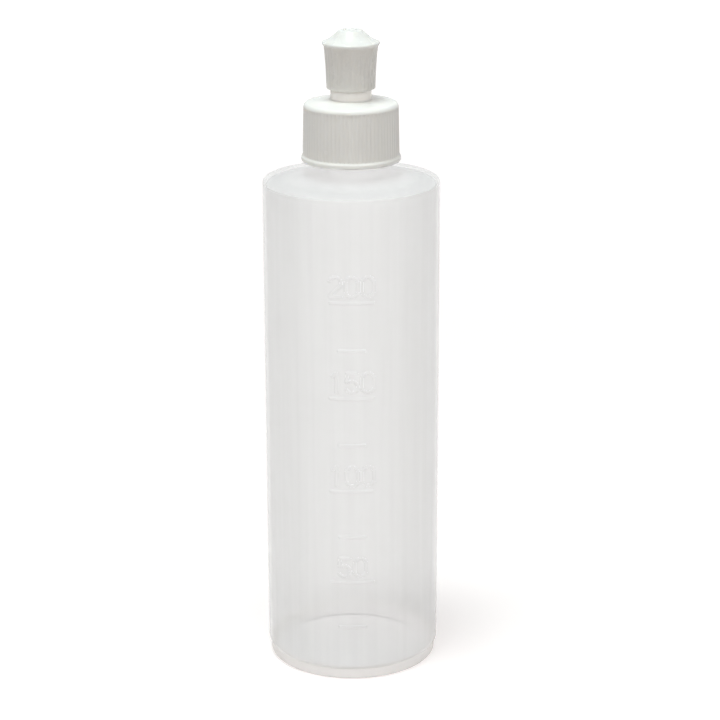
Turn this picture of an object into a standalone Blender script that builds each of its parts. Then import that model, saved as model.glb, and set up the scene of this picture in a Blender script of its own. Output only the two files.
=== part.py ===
"""A squeeze rinse bottle of about 240 ml with a ribbed screw cap and a push-pull spout, standing closed.

Metres, +Z up. The origin is the centre of the foot ring's underside, and every piece turns about Z.
Four solids: the blow-moulded bottle, the sealing liner on its mouth, the screw cap with its stem, spider
and sealing pin, and the spout that slides on the stem.
"""

import math

import bmesh
import bpy
from mathutils import Matrix

# Fits between pieces
SEAT_GAP = 0.0003                # between two faces that rest on each other
SLIDE_GAP = 0.0003               # beside a face that slides past another
FUSE_DEPTH = 0.0004              # how far a rib or spoke goes into what carries it

# Screw thread, the same on the neck and inside the cap
THREAD_LEAD = 0.003175
THREAD_TURNS = 1.5
THREAD_DEPTH = 0.0011            # how far a ridge stands out from its wall
THREAD_CLEARANCE = 0.00025       # between a ridge's crest and the wall that faces it
THREAD_ROOT_WIDTH = 0.0021
THREAD_CREST_WIDTH = 0.0008
THREAD_TOP_DROP = 0.0024         # from the mouth down to the middle of the neck's ridge at its top end
THREAD_END_TURNS = 0.125         # each end sinks into its wall over this part of a turn

# Bottle: body, foot and base
BODY_RADIUS = 0.0250
BODY_WALL = 0.0010
BASE_WALL = 0.0013
FOOT_STEP = 0.0008               # how far the foot's side lies inside the body's
FOOT_HEIGHT = 0.0027
FOOT_EDGE_RADIUS = 0.0008
FOOT_FLAT_WIDTH = 0.0020
HEEL_RADIUS = 0.0022
PUSH_UP_STEP = 0.0010            # how far the base panel's rim lies above the surface it stands on
PUSH_UP_RISE = 0.0016            # how much further the panel rises to its middle

# Bottle: shoulder and neck
SHOULDER_HEIGHT = 0.14315
SHOULDER_EDGE_RADIUS = 0.0011
INNER_EDGE_RADIUS = 0.0006
SHOULDER_RISE = 0.0023           # from the shoulder's edge up to the neck
NECK_RADIUS = 0.01085
NECK_WALL = 0.00195
NECK_FILLET_RADIUS = 0.0016
FINISH_HEIGHT = 0.0161           # from the foot of the neck to the mouth
MOUTH_EDGE_RADIUS = 0.0004

# Sealing liner
LINER_THICKNESS = 0.0010
LINER_SIDE_GAP = 0.0004
LINER_HOLE_MARGIN = 0.0004

# Screw cap: skirt, ribs, bead and deck
SKIRT_WALL = 0.00127             # just above the bead, measured to the valleys between the ribs
SKIRT_TAPER = 0.00027            # how much smaller the skirt's radius is at the deck
SKIRT_CLEARANCE = 0.0029         # from the foot of the neck up to the skirt's lip
RIB_COUNT = 72
RIB_HEIGHT = 0.00025
RIB_RADIUS = 0.00040
BEAD_PROUD = 0.0006              # how far the bead stands out past the valleys
BEAD_HEIGHT = 0.0012
BEAD_SLOPE_HEIGHT = 0.0006
BEAD_EDGE_RADIUS = 0.00045
LEAD_IN = 0.0004
DECK_THICKNESS = 0.00185
DECK_EDGE_RADIUS = 0.0009
DECK_RISE = 0.00085              # from the deck's rim up to the collar

# Screw cap: collar, stem, spider and sealing pin
COLLAR_STEP = 0.0005             # how far the collar stands out past the stem
COLLAR_HEIGHT = 0.0032
COLLAR_FILLET = 0.0003
STEM_RADIUS = 0.00525
STEM_WALL = 0.0010
STEM_BEAD_PROUD = 0.00045
STEM_BEAD_LENGTH = 0.0008
STEM_BEAD_SLOPE = 0.0004
STEM_LIP_HEIGHT = 0.0009
SPOKE_COUNT = 3
SPOKE_WIDTH = 0.0010
SPOKE_HEIGHT = 0.0020
SPOKE_DROP = 0.0015              # from the stem's end down to the spokes' tops
PIN_FOOT_RADIUS = 0.0019
PIN_TIP_RADIUS = 0.0015
PIN_CONE_HEIGHT = 0.0030
PIN_TIP_BELOW_NOSE = 0.0004

# Pull spout
SPOUT_TRAVEL = 0.0035
SPOUT_BEAD_LENGTH = 0.0009
SPOUT_BEAD_GAP = 0.00025         # between the spout's inner bead and the stem
SPOUT_BEAD_SLOPE = 0.0004
COUNTERBORE_DEPTH = 0.0005       # the spout's foot covers the collar's end by this, less the seat gap
SPOUT_FOOT_WALL = 0.00083        # round the counterbore
SPOUT_FOOT_BEVEL = 0.0002
BARREL_FLARE = 0.00076           # how much wider the barrel is at its top than at its foot
BARREL_HEIGHT = 0.0117
RIM_PROUD = 0.00056              # how far the rim stands out past the barrel's top
RIM_EDGE_RADIUS = 0.00045
RIM_FLARE_HEIGHT = 0.0009        # from the barrel's top to the middle of the rim's edge
NOSE_HEIGHT = 0.0037             # from the middle of the rim's edge to the nose's flat top
NOSE_RADIUS = 0.0041
NOSE_EDGE_RADIUS = 0.0015
RIM_UNDERSIDE_ANGLE = 45         # degrees below level, where the rim's edge meets its flare
NOSE_FOOT_ANGLE = 14             # degrees from level, where the nose sweeps up from the rim
NOSE_SIDE_ANGLE = 46             # degrees from level, where it meets its rounded edge
SPOUT_WALL = 0.0011
ORIFICE_LENGTH = 0.0016
ORIFICE_LEAD = 0.00025           # height of the cone that leads into the orifice
FLUTE_COUNT = 30
FLUTE_DEPTH = 0.00012
FLUTE_RADIUS = 0.0005
FLUTE_FOOT_MARGIN = 0.0004
FLUTE_TOP_MARGIN = 0.0009

# How finely round shapes are divided
BOTTLE_STEPS = 48
LINER_STEPS = 32
CAP_STEPS = RIB_COUNT
SPOUT_STEPS = 2 * FLUTE_COUNT
PIN_STEPS = 16
THREAD_STEPS = 24                # in one turn
RIB_SIDES = 6
FLUTE_SIDES = 6
ARC_STEPS = 3
PANEL_STEPS = 4
SWEEP_STEPS = 4
FINEST_MERGE = 0.00001
SHARP_ANGLE = 35                 # degrees between faces, above which an edge is drawn sharp

# Colours as red, green and blue
NATURAL_PLASTIC = (0.80, 0.80, 0.79)
CAP_PLASTIC = (0.83, 0.83, 0.80)
SPOUT_PLASTIC = (0.84, 0.84, 0.81)
LINER_FOAM = (0.90, 0.90, 0.90)

# Shares of a material's finish
NATURAL_ROUGHNESS_SHARE = 0.35
NATURAL_TRANSMISSION_SHARE = 0.30
CAP_ROUGHNESS_SHARE = 0.40
SPOUT_ROUGHNESS_SHARE = 0.35
LINER_ROUGHNESS_SHARE = 0.80

# Sizes that follow from those above
INNER_BODY_RADIUS = BODY_RADIUS - BODY_WALL
FOOT_RADIUS = BODY_RADIUS - FOOT_STEP
MOUTH_BORE_RADIUS = NECK_RADIUS - NECK_WALL
SHOULDER_ANGLE = math.atan2(SHOULDER_RISE, BODY_RADIUS - NECK_RADIUS)
CAP_BORE_RADIUS = NECK_RADIUS + THREAD_DEPTH + THREAD_CLEARANCE
VALLEY_LOW_RADIUS = CAP_BORE_RADIUS + SKIRT_WALL
VALLEY_TOP_RADIUS = VALLEY_LOW_RADIUS - SKIRT_TAPER
DECK_RADIUS = VALLEY_TOP_RADIUS + RIB_HEIGHT
BEAD_RADIUS = VALLEY_LOW_RADIUS + BEAD_PROUD
STEM_BORE_RADIUS = STEM_RADIUS - STEM_WALL
COLLAR_RADIUS = STEM_RADIUS + COLLAR_STEP
COUNTERBORE_RADIUS = COLLAR_RADIUS + SLIDE_GAP
SPOUT_FOOT_RADIUS = COUNTERBORE_RADIUS + SPOUT_FOOT_WALL
BARREL_TOP_RADIUS = SPOUT_FOOT_RADIUS + BARREL_FLARE
RIM_RADIUS = BARREL_TOP_RADIUS + RIM_PROUD
STEM_BEAD_RADIUS = STEM_RADIUS + STEM_BEAD_PROUD
SPOUT_BORE_RADIUS = STEM_BEAD_RADIUS + SLIDE_GAP
SPOUT_BEAD_RADIUS = STEM_RADIUS + SPOUT_BEAD_GAP
ORIFICE_RADIUS = PIN_TIP_RADIUS + SLIDE_GAP


def arc(centre_r, centre_z, radius, start, end, steps=ARC_STEPS):
    """Points of a round corner in a turned profile, from the start angle to the end angle in degrees."""
    angles = [math.radians(start + (end - start) * k / steps) for k in range(steps + 1)]
    return [(centre_r + radius * math.cos(a), centre_z + radius * math.sin(a)) for a in angles]


def sweep(start, start_angle, end, end_angle, steps=SWEEP_STEPS):
    """Points of a quadratic curve that leaves start and reaches end at these slopes, rising inwards."""
    first, last = math.tan(math.radians(start_angle)), math.tan(math.radians(end_angle))
    corner_r = (end[1] - start[1] + last * end[0] - first * start[0]) / (last - first)
    corner_z = start[1] + first * (start[0] - corner_r)
    points = []
    for k in range(steps + 1):
        t = k / steps
        near, middle, far = (1 - t) ** 2, 2 * t * (1 - t), t ** 2
        points.append((
            near * start[0] + middle * corner_r + far * end[0],
            near * start[1] + middle * corner_z + far * end[1],
        ))
    return points


def shoulder_outline(body_radius, edge_radius, edge_height, neck_radius, fillet_radius):
    """The shoulder from the side wall up to the neck, and the height where its slope meets the neck."""
    tilt = math.degrees(SHOULDER_ANGLE)
    edge = arc(body_radius - edge_radius, edge_height - edge_radius, edge_radius, 0, 90 - tilt)
    edge_r, edge_z = edge[-1]
    fillet_r = neck_radius + fillet_radius
    touch_r = fillet_r - fillet_radius * math.sin(SHOULDER_ANGLE)
    touch_z = edge_z + (edge_r - touch_r) * math.tan(SHOULDER_ANGLE)
    fillet_z = touch_z + fillet_radius * math.cos(SHOULDER_ANGLE)
    neck_foot = edge_z + (edge_r - neck_radius) * math.tan(SHOULDER_ANGLE)
    return edge + arc(fillet_r, fillet_z, fillet_radius, -90 - tilt, -180), neck_foot


def outer_shoulder():
    return shoulder_outline(
        BODY_RADIUS, SHOULDER_EDGE_RADIUS, SHOULDER_HEIGHT, NECK_RADIUS, NECK_FILLET_RADIUS
    )


def inner_shoulder():
    return shoulder_outline(
        INNER_BODY_RADIUS,
        INNER_EDGE_RADIUS,
        SHOULDER_HEIGHT - BODY_WALL,
        MOUTH_BORE_RADIUS,
        NECK_FILLET_RADIUS + BODY_WALL,
    )


# Heights of the stack, from the bottle's mouth up to the nose
NECK_FOOT = outer_shoulder()[1]
MOUTH_HEIGHT = NECK_FOOT + FINISH_HEIGHT
LINER_FOOT = MOUTH_HEIGHT + SEAT_GAP
CAP_CEILING = LINER_FOOT + LINER_THICKNESS + SEAT_GAP
DECK_RIM_HEIGHT = CAP_CEILING + DECK_THICKNESS
SKIRT_FOOT = NECK_FOOT + SKIRT_CLEARANCE
NECK_THREAD_TOP = MOUTH_HEIGHT - THREAD_TOP_DROP
CAP_THREAD_TOP = NECK_THREAD_TOP - THREAD_LEAD / 2
COLLAR_FOOT = DECK_RIM_HEIGHT + DECK_RISE
COLLAR_TOP = COLLAR_FOOT + COLLAR_HEIGHT
SPOUT_STOP = COLLAR_TOP + SEAT_GAP
SPOUT_FOOT = SPOUT_STOP - COUNTERBORE_DEPTH
SPOUT_BEAD_TOP = SPOUT_STOP + SPOUT_BEAD_LENGTH
STEM_BEAD_FOOT = SPOUT_BEAD_TOP + SPOUT_TRAVEL + SEAT_GAP
STEM_BEAD_TOP = STEM_BEAD_FOOT + STEM_BEAD_LENGTH
STEM_TOP = STEM_BEAD_TOP + STEM_BEAD_SLOPE + STEM_LIP_HEIGHT
BARREL_TOP = SPOUT_FOOT + BARREL_HEIGHT
RIM_MIDDLE = BARREL_TOP + RIM_FLARE_HEIGHT
NOSE_TOP = RIM_MIDDLE + NOSE_HEIGHT


def bottle_outline():
    """The bottle's wall, from the middle of its floor inside, over the mouth, to the middle underneath."""
    flat_outer = FOOT_RADIUS - FOOT_EDGE_RADIUS
    flat_inner = flat_outer - FOOT_FLAT_WIDTH
    panel_radius = flat_inner - PUSH_UP_STEP
    panel_shares = [k / PANEL_STEPS for k in range(PANEL_STEPS + 1)]
    panel = [(panel_radius * s, PUSH_UP_STEP + PUSH_UP_RISE * (1 - s ** 2)) for s in panel_shares]
    heel_r = BODY_RADIUS - HEEL_RADIUS
    heel_z = FOOT_HEIGHT + HEEL_RADIUS
    heel_start = -math.degrees(math.acos((FOOT_RADIUS - heel_r) / HEEL_RADIUS))
    outside = panel + [(flat_inner, 0.0)]
    outside += arc(flat_outer, FOOT_EDGE_RADIUS, FOOT_EDGE_RADIUS, -90, 0)
    outside += arc(heel_r, heel_z, HEEL_RADIUS, heel_start, 0)
    outside += outer_shoulder()[0]
    edge_z = MOUTH_HEIGHT - MOUTH_EDGE_RADIUS
    outside += arc(NECK_RADIUS - MOUTH_EDGE_RADIUS, edge_z, MOUTH_EDGE_RADIUS, 0, 90)

    inner_heel = HEEL_RADIUS + BODY_WALL
    inner_heel_r = INNER_BODY_RADIUS - inner_heel
    inside = [(r, z + BASE_WALL) for r, z in panel if r < inner_heel_r]
    inside += arc(inner_heel_r, heel_z, inner_heel, -90, 0)
    inside += inner_shoulder()[0]
    inside += arc(MOUTH_BORE_RADIUS + MOUTH_EDGE_RADIUS, edge_z, MOUTH_EDGE_RADIUS, 180, 90)
    return inside + outside[::-1]


def liner_outline():
    """The liner's section: a flat washer whose hole clears the stem's bore."""
    outer, inner = CAP_BORE_RADIUS - LINER_SIDE_GAP, STEM_BORE_RADIUS + LINER_HOLE_MARGIN
    top = LINER_FOOT + LINER_THICKNESS
    return [(inner, top), (outer, top), (outer, LINER_FOOT), (inner, LINER_FOOT)]


def cap_outline():
    """The cap's section right of the axis: stem, collar, deck, skirt and bead, then up the bore."""
    loop = [
        (STEM_BORE_RADIUS, STEM_TOP),
        (STEM_RADIUS, STEM_TOP),
        (STEM_RADIUS, STEM_BEAD_TOP + STEM_BEAD_SLOPE),
        (STEM_BEAD_RADIUS, STEM_BEAD_TOP),
        (STEM_BEAD_RADIUS, STEM_BEAD_FOOT),
        (STEM_RADIUS, STEM_BEAD_FOOT),
        (STEM_RADIUS, COLLAR_TOP),
        (COLLAR_RADIUS, COLLAR_TOP),
        (COLLAR_RADIUS, COLLAR_FOOT + COLLAR_FILLET),
        (COLLAR_RADIUS + COLLAR_FILLET, COLLAR_FOOT),
    ]
    edge_r, edge_z = DECK_RADIUS - DECK_EDGE_RADIUS, DECK_RIM_HEIGHT - DECK_EDGE_RADIUS
    deck_tilt = math.degrees(math.atan2(DECK_RISE, edge_r - COLLAR_RADIUS))
    loop += arc(edge_r, edge_z, DECK_EDGE_RADIUS, 90 - deck_tilt, 0)
    loop += [
        (VALLEY_TOP_RADIUS, edge_z - RIB_HEIGHT),
        (VALLEY_LOW_RADIUS, SKIRT_FOOT + BEAD_HEIGHT + BEAD_SLOPE_HEIGHT),
        (BEAD_RADIUS, SKIRT_FOOT + BEAD_HEIGHT),
    ]
    loop += arc(BEAD_RADIUS - BEAD_EDGE_RADIUS, SKIRT_FOOT + BEAD_EDGE_RADIUS, BEAD_EDGE_RADIUS, 0, -90)
    loop += [
        (CAP_BORE_RADIUS + LEAD_IN, SKIRT_FOOT),
        (CAP_BORE_RADIUS, SKIRT_FOOT + LEAD_IN),
        (CAP_BORE_RADIUS, CAP_CEILING),
        (STEM_BORE_RADIUS, CAP_CEILING),
    ]
    return loop


def pin_outline():
    """The sealing pin, from its rounded tip down to the middle of its flat foot."""
    foot = STEM_TOP - SPOKE_DROP - SPOKE_HEIGHT
    tip = NOSE_TOP - PIN_TIP_BELOW_NOSE
    tip_edge = arc(0.0, tip - PIN_TIP_RADIUS, PIN_TIP_RADIUS, 90, 0)
    cone_foot = foot + SPOKE_HEIGHT
    return tip_edge + [
        (PIN_TIP_RADIUS, cone_foot + PIN_CONE_HEIGHT),
        (PIN_FOOT_RADIUS, cone_foot),
        (PIN_FOOT_RADIUS, foot),
        (0.0, foot),
    ]


def spout_outline():
    """The spout's section right of the axis: nose, rim, barrel and foot, then up the bore."""
    nose_edge = arc(
        NOSE_RADIUS - NOSE_EDGE_RADIUS,
        NOSE_TOP - NOSE_EDGE_RADIUS,
        NOSE_EDGE_RADIUS,
        90,
        90 - NOSE_SIDE_ANGLE,
    )
    rim_r = RIM_RADIUS - RIM_EDGE_RADIUS
    rim_edge = arc(rim_r, RIM_MIDDLE, RIM_EDGE_RADIUS, 90 - NOSE_FOOT_ANGLE, -RIM_UNDERSIDE_ANGLE)
    nose_side = sweep(rim_edge[0], NOSE_FOOT_ANGLE, nose_edge[-1], NOSE_SIDE_ANGLE)
    loop = [(ORIFICE_RADIUS, NOSE_TOP)] + nose_edge[:-1] + nose_side[::-1] + rim_edge[1:]
    loop += [
        (BARREL_TOP_RADIUS, BARREL_TOP),
        (SPOUT_FOOT_RADIUS, SPOUT_FOOT + SPOUT_FOOT_BEVEL),
        (SPOUT_FOOT_RADIUS - SPOUT_FOOT_BEVEL, SPOUT_FOOT),
        (COUNTERBORE_RADIUS, SPOUT_FOOT),
        (COUNTERBORE_RADIUS, SPOUT_STOP),
        (SPOUT_BEAD_RADIUS, SPOUT_STOP),
        (SPOUT_BEAD_RADIUS, SPOUT_BEAD_TOP),
        (SPOUT_BORE_RADIUS, SPOUT_BEAD_TOP + SPOUT_BEAD_SLOPE),
        (SPOUT_BORE_RADIUS, BARREL_TOP),
        (NOSE_RADIUS - SPOUT_WALL, NOSE_TOP - ORIFICE_LENGTH - ORIFICE_LEAD),
        (ORIFICE_RADIUS, NOSE_TOP - ORIFICE_LENGTH),
    ]
    return loop


def clear_scene():
    for obj in list(bpy.data.objects):
        bpy.data.objects.remove(obj, do_unlink=True)


def new_collection(name):
    collection = bpy.data.collections.new(name)
    bpy.context.scene.collection.children.link(collection)
    return collection


def plastic(name, colour, roughness, transmission=0.0):
    material = bpy.data.materials.new(name)
    material.use_nodes = True
    shader = material.node_tree.nodes["Principled BSDF"]
    shader.inputs["Base Color"].default_value = (*colour, 1.0)
    shader.inputs["Roughness"].default_value = roughness
    shader.inputs["Metallic"].default_value = 0.0
    shader.inputs["Transmission Weight"].default_value = transmission
    return material


def turned(name, outline, steps, collection):
    """A solid turned about Z. Its outline runs down the outer side and closes on itself or on the axis."""
    count = len(outline)
    on_axis = outline[0][0] == 0.0 and outline[-1][0] == 0.0
    edges = [(k, (k + 1) % count) for k in range(count - on_axis)]
    mesh = bpy.data.meshes.new(name)
    mesh.from_pydata([(r, 0.0, z) for r, z in outline], edges, [])
    obj = bpy.data.objects.new(name, mesh)
    collection.objects.link(obj)
    turn = obj.modifiers.new("Turn", "SCREW")
    turn.axis = "Z"
    turn.steps = turn.render_steps = steps
    turn.use_merge_vertices = True
    turn.merge_threshold = FINEST_MERGE
    return obj


def copies(add_shape, places):
    """A bmesh that holds one copy of a shape at each place."""
    shapes = bmesh.new()
    for place in places:
        made = add_shape(shapes)
        bmesh.ops.transform(shapes, matrix=place, verts=made["verts"])
    return shapes


def helper_object(name, shapes, collection):
    """One hidden object of all the shapes in a bmesh."""
    bmesh.ops.recalc_face_normals(shapes, faces=shapes.faces)
    mesh = bpy.data.meshes.new(name)
    shapes.to_mesh(mesh)
    shapes.free()
    obj = bpy.data.objects.new(name, mesh)
    collection.objects.link(obj)
    return hide_helper(obj)


def hide_helper(obj):
    obj.hide_render = True
    obj.display_type = "WIRE"
    return obj


def join_or_cut(obj, helper, operation):
    step = obj.modifiers.new(helper.name, "BOOLEAN")
    step.operation = operation
    step.solver = "EXACT"
    step.object = helper


def bar(sides, radius, length):
    """A function that adds an upright prism with this many sides, one of them facing +X."""
    def add_shape(shapes):
        made = bmesh.ops.create_cone(
            shapes, cap_ends=True, segments=sides, radius1=radius, radius2=radius, depth=length
        )
        bmesh.ops.rotate(shapes, verts=made["verts"], matrix=Matrix.Rotation(math.pi / sides, 3, "Z"))
        return made
    return add_shape


def block(length, width, height):
    """A function that adds a box that starts at the Z axis's side of its place and runs along +X."""
    def add_shape(shapes):
        made = bmesh.ops.create_cube(shapes, size=1.0)
        bmesh.ops.scale(shapes, verts=made["verts"], vec=(length, width, height))
        return made
    return add_shape


def around_axis(count, radius_low, radius_top, low, top):
    """Places for bars that lean from one radius at their foot to another at their top, evenly round Z."""
    lean = Matrix.Rotation(math.atan2(radius_top - radius_low, top - low), 4, "Y")
    out = Matrix.Translation(((radius_low + radius_top) / 2, 0.0, (low + top) / 2))
    turns = [math.tau * (k + 1 / 2) / count for k in range(count)]
    return [Matrix.Rotation(turn, 4, "Z") @ out @ lean for turn in turns]


def cap_ribs(collection):
    """Six-sided ribs up the skirt, from inside the bead to inside the deck's rounded edge."""
    low, top = SKIRT_FOOT + BEAD_HEIGHT, DECK_RIM_HEIGHT - DECK_EDGE_RADIUS
    reach = RIB_HEIGHT - RIB_RADIUS * math.cos(math.pi / RIB_SIDES)
    places = around_axis(RIB_COUNT, VALLEY_LOW_RADIUS + reach, VALLEY_TOP_RADIUS + reach, low, top)
    rib = bar(RIB_SIDES, RIB_RADIUS, top - low)
    return helper_object("rib_bars", copies(rib, places), collection)


def cap_spokes(collection):
    """The spider's spokes, from inside the pin to inside the stem's wall."""
    inner, outer = PIN_FOOT_RADIUS - FUSE_DEPTH, STEM_BORE_RADIUS + FUSE_DEPTH
    top = STEM_TOP - SPOKE_DROP
    spoke = block(outer - inner, SPOKE_WIDTH, SPOKE_HEIGHT - FUSE_DEPTH)
    places = around_axis(
        SPOKE_COUNT, (inner + outer) / 2, (inner + outer) / 2, top - SPOKE_HEIGHT, top - FUSE_DEPTH
    )
    return helper_object("spoke_bars", copies(spoke, places), collection)


def spout_flutes(collection):
    """Six-sided bars that cut the barrel's shallow flutes."""
    low, top = SPOUT_FOOT + FLUTE_FOOT_MARGIN, BARREL_TOP - FLUTE_TOP_MARGIN
    slope = (BARREL_TOP_RADIUS - SPOUT_FOOT_RADIUS) / BARREL_HEIGHT
    reach = FLUTE_RADIUS * math.cos(math.pi / FLUTE_SIDES) - FLUTE_DEPTH
    low_radius = SPOUT_FOOT_RADIUS + slope * (low - SPOUT_FOOT) + reach
    top_radius = SPOUT_FOOT_RADIUS + slope * (top - SPOUT_FOOT) + reach
    flute = bar(FLUTE_SIDES, FLUTE_RADIUS, top - low)
    places = around_axis(FLUTE_COUNT, low_radius, top_radius, low, top)
    return helper_object("flute_cutters", copies(flute, places), collection)


def thread_ridge(name, wall_radius, outwards, top_height, collection):
    """A right-hand helical ridge of trapezoid section on a round wall, which its two ends sink into."""
    flank = (THREAD_ROOT_WIDTH - THREAD_CREST_WIDTH) / 2 / THREAD_DEPTH
    shapes = bmesh.new()
    sections = []
    for k in range(round(THREAD_TURNS * THREAD_STEPS) + 1):
        turns = k / THREAD_STEPS
        grown = min(1.0, turns / THREAD_END_TURNS, (THREAD_TURNS - turns) / THREAD_END_TURNS)
        crest = (THREAD_DEPTH + FUSE_DEPTH / 2) * grown - FUSE_DEPTH / 2
        middle = top_height - THREAD_LEAD * turns
        corners = []
        for reach, side in ((-FUSE_DEPTH, -1), (crest, -1), (crest, 1), (-FUSE_DEPTH, 1)):
            radius = wall_radius + outwards * reach
            height = middle + side * (THREAD_ROOT_WIDTH / 2 - flank * reach)
            angle = -math.tau * turns
            place = (radius * math.cos(angle), radius * math.sin(angle), height)
            corners.append(shapes.verts.new(place))
        sections.append(corners)
    for upper, lower in zip(sections, sections[1:]):
        for k in range(len(upper)):
            shapes.faces.new((upper[k - 1], upper[k], lower[k], lower[k - 1]))
    shapes.faces.new(sections[0])
    shapes.faces.new(sections[-1])
    return helper_object(name, shapes, collection)


def finish(obj, material):
    """Makes the modifiers' result the object's own mesh, shades it smooth and gives it its material."""
    bpy.context.view_layer.update()
    graph = bpy.context.evaluated_depsgraph_get()
    mesh = bpy.data.meshes.new_from_object(obj.evaluated_get(graph))
    mesh.name = obj.name
    obj.modifiers.clear()
    obj.data = mesh
    mesh.shade_smooth()
    mesh.set_sharp_from_angle(angle=math.radians(SHARP_ANGLE))
    mesh.materials.clear()
    mesh.materials.append(material)


def main():
    clear_scene()
    pieces = new_collection("rinse_bottle")
    helpers = new_collection("rinse_bottle_helpers")

    bottle = turned("bottle", bottle_outline(), BOTTLE_STEPS, pieces)
    natural = plastic(
        "natural_polyethylene", NATURAL_PLASTIC, NATURAL_ROUGHNESS_SHARE, NATURAL_TRANSMISSION_SHARE
    )
    neck_thread = thread_ridge("neck_thread", NECK_RADIUS, 1, NECK_THREAD_TOP, helpers)
    join_or_cut(bottle, neck_thread, "UNION")
    finish(bottle, natural)

    liner = turned("sealing_liner", liner_outline(), LINER_STEPS, pieces)
    finish(liner, plastic("liner_foam", LINER_FOAM, LINER_ROUGHNESS_SHARE))

    cap = turned("screw_cap", cap_outline(), CAP_STEPS, pieces)
    pin = hide_helper(turned("pin_bar", pin_outline(), PIN_STEPS, helpers))
    join_or_cut(cap, cap_ribs(helpers), "UNION")
    join_or_cut(cap, cap_spokes(helpers), "UNION")
    join_or_cut(cap, pin, "UNION")
    cap_thread = thread_ridge("cap_thread", CAP_BORE_RADIUS, -1, CAP_THREAD_TOP, helpers)
    join_or_cut(cap, cap_thread, "UNION")
    finish(cap, plastic("cap_polypropylene", CAP_PLASTIC, CAP_ROUGHNESS_SHARE))

    spout = turned("pull_spout", spout_outline(), SPOUT_STEPS, pieces)
    join_or_cut(spout, spout_flutes(helpers), "DIFFERENCE")
    finish(spout, plastic("spout_polyethylene", SPOUT_PLASTIC, SPOUT_ROUGHNESS_SHARE))


main()
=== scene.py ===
"""Looks of the rinse bottle: a milky squeeze bottle, a ribbed screw cap and a closed push-pull spout."""
import math

import bpy
import numpy as np
from mathutils import Matrix, Vector


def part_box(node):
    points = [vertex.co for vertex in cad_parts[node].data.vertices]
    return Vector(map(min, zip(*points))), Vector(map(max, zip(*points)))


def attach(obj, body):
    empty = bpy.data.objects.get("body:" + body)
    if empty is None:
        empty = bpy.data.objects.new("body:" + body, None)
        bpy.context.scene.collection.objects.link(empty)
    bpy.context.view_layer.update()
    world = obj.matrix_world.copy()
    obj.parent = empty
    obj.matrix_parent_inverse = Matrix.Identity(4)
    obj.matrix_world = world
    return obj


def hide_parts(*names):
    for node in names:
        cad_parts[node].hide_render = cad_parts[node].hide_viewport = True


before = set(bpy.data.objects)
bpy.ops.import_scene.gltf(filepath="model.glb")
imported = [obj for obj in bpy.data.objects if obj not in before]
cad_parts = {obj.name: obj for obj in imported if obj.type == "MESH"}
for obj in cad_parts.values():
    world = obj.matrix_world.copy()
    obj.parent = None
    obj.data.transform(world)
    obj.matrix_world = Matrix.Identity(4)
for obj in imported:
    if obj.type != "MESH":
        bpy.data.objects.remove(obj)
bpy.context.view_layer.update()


# Where the CAD solids lie, in metres
BOTTLE_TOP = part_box("bottle")[1]
LINER_LOW, LINER_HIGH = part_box("sealing_liner")
CAP_LOW, CAP_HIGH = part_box("screw_cap")
SPOUT_LOW, SPOUT_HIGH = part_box("pull_spout")
BODY_RADIUS = BOTTLE_TOP.x
MOUTH_HEIGHT = BOTTLE_TOP.z
SPOUT_FOOT = SPOUT_LOW.z
NOSE_TOP = SPOUT_HIGH.z

# Fits and the thread, as in the solids
SEAT_GAP = 0.0003
SLIDE_GAP = 0.0003
THREAD_LEAD = 0.003175
THREAD_TURNS = 1.5
THREAD_DEPTH = 0.0011
THREAD_CLEARANCE = 0.00025
THREAD_ROOT_WIDTH = 0.0021
THREAD_CREST_WIDTH = 0.0008
THREAD_TOP_DROP = 0.0024
THREAD_END_TURNS = 0.125

# Bottle
BODY_WALL = 0.0010
BASE_WALL = 0.0013
FOOT_STEP = 0.0008
FOOT_HEIGHT = 0.0027
FOOT_EDGE_RADIUS = 0.0008
FOOT_FLAT_WIDTH = 0.0020
FOOT_INNER_EDGE_RADIUS = 0.0004
HEEL_RADIUS = 0.0022
PUSH_UP_STEP = 0.0010
PUSH_UP_RISE = 0.0016
SHOULDER_HEIGHT = 0.14315
SHOULDER_EDGE_RADIUS = 0.0011
INNER_EDGE_RADIUS = 0.0006
SHOULDER_RISE = 0.0023
NECK_RADIUS = 0.01085
NECK_WALL = 0.00195
NECK_FILLET_RADIUS = 0.0016
MOUTH_EDGE_RADIUS = 0.0004

# Fill scale on the bottle's front
SCALE_VOLUMES = (50, 100, 150, 200)      # in millilitres
MILLILITRE = 0.000001                    # in cubic metres
FIGURE_HEIGHT = 0.0056
FIGURE_PITCH = 0.0045
FIGURE_LINE = 0.00055
FIGURE_RELIEF = 0.00022
TICK_LENGTH = 0.0060
TICK_GAP = 0.0018
HALF_TICK_LENGTH = 0.0036

# Sealing liner
LINER_HOLE_MARGIN = 0.0004
LINER_EDGE_RADIUS = 0.00012

# Screw cap
SKIRT_WALL = 0.00127
SKIRT_TAPER = 0.00027
RIB_COUNT = 72
RIB_HEIGHT = 0.00011
RIB_HALF_WIDTH_SHARE = 0.42              # of the way from one rib to the next
BEAD_HEIGHT = 0.0012
BEAD_SLOPE_HEIGHT = 0.0006
BEAD_EDGE_RADIUS = 0.00045
BEAD_INSET = 0.00006                     # how much narrower the bead is than the solid's
LIP_RISE = 0.0002                        # how much higher the skirt's lip is than the solid's
LEAD_IN = 0.0004
DECK_THICKNESS = 0.00185
DECK_EDGE_RADIUS = 0.0012
DECK_RISE = 0.00085
COLLAR_STEP = 0.0005
COLLAR_HEIGHT = 0.0032
COLLAR_FILLET = 0.0003
COLLAR_EDGE_RADIUS = 0.00015
STEM_RADIUS = 0.00525
STEM_WALL = 0.0010
STEM_BEAD_PROUD = 0.00045
STEM_BEAD_LENGTH = 0.0008
STEM_BEAD_SLOPE = 0.0004
STEM_LIP_HEIGHT = 0.0009
STEM_EDGE_RADIUS = 0.00015
SPOKE_COUNT = 3
SPOKE_WIDTH = 0.0010
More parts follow.
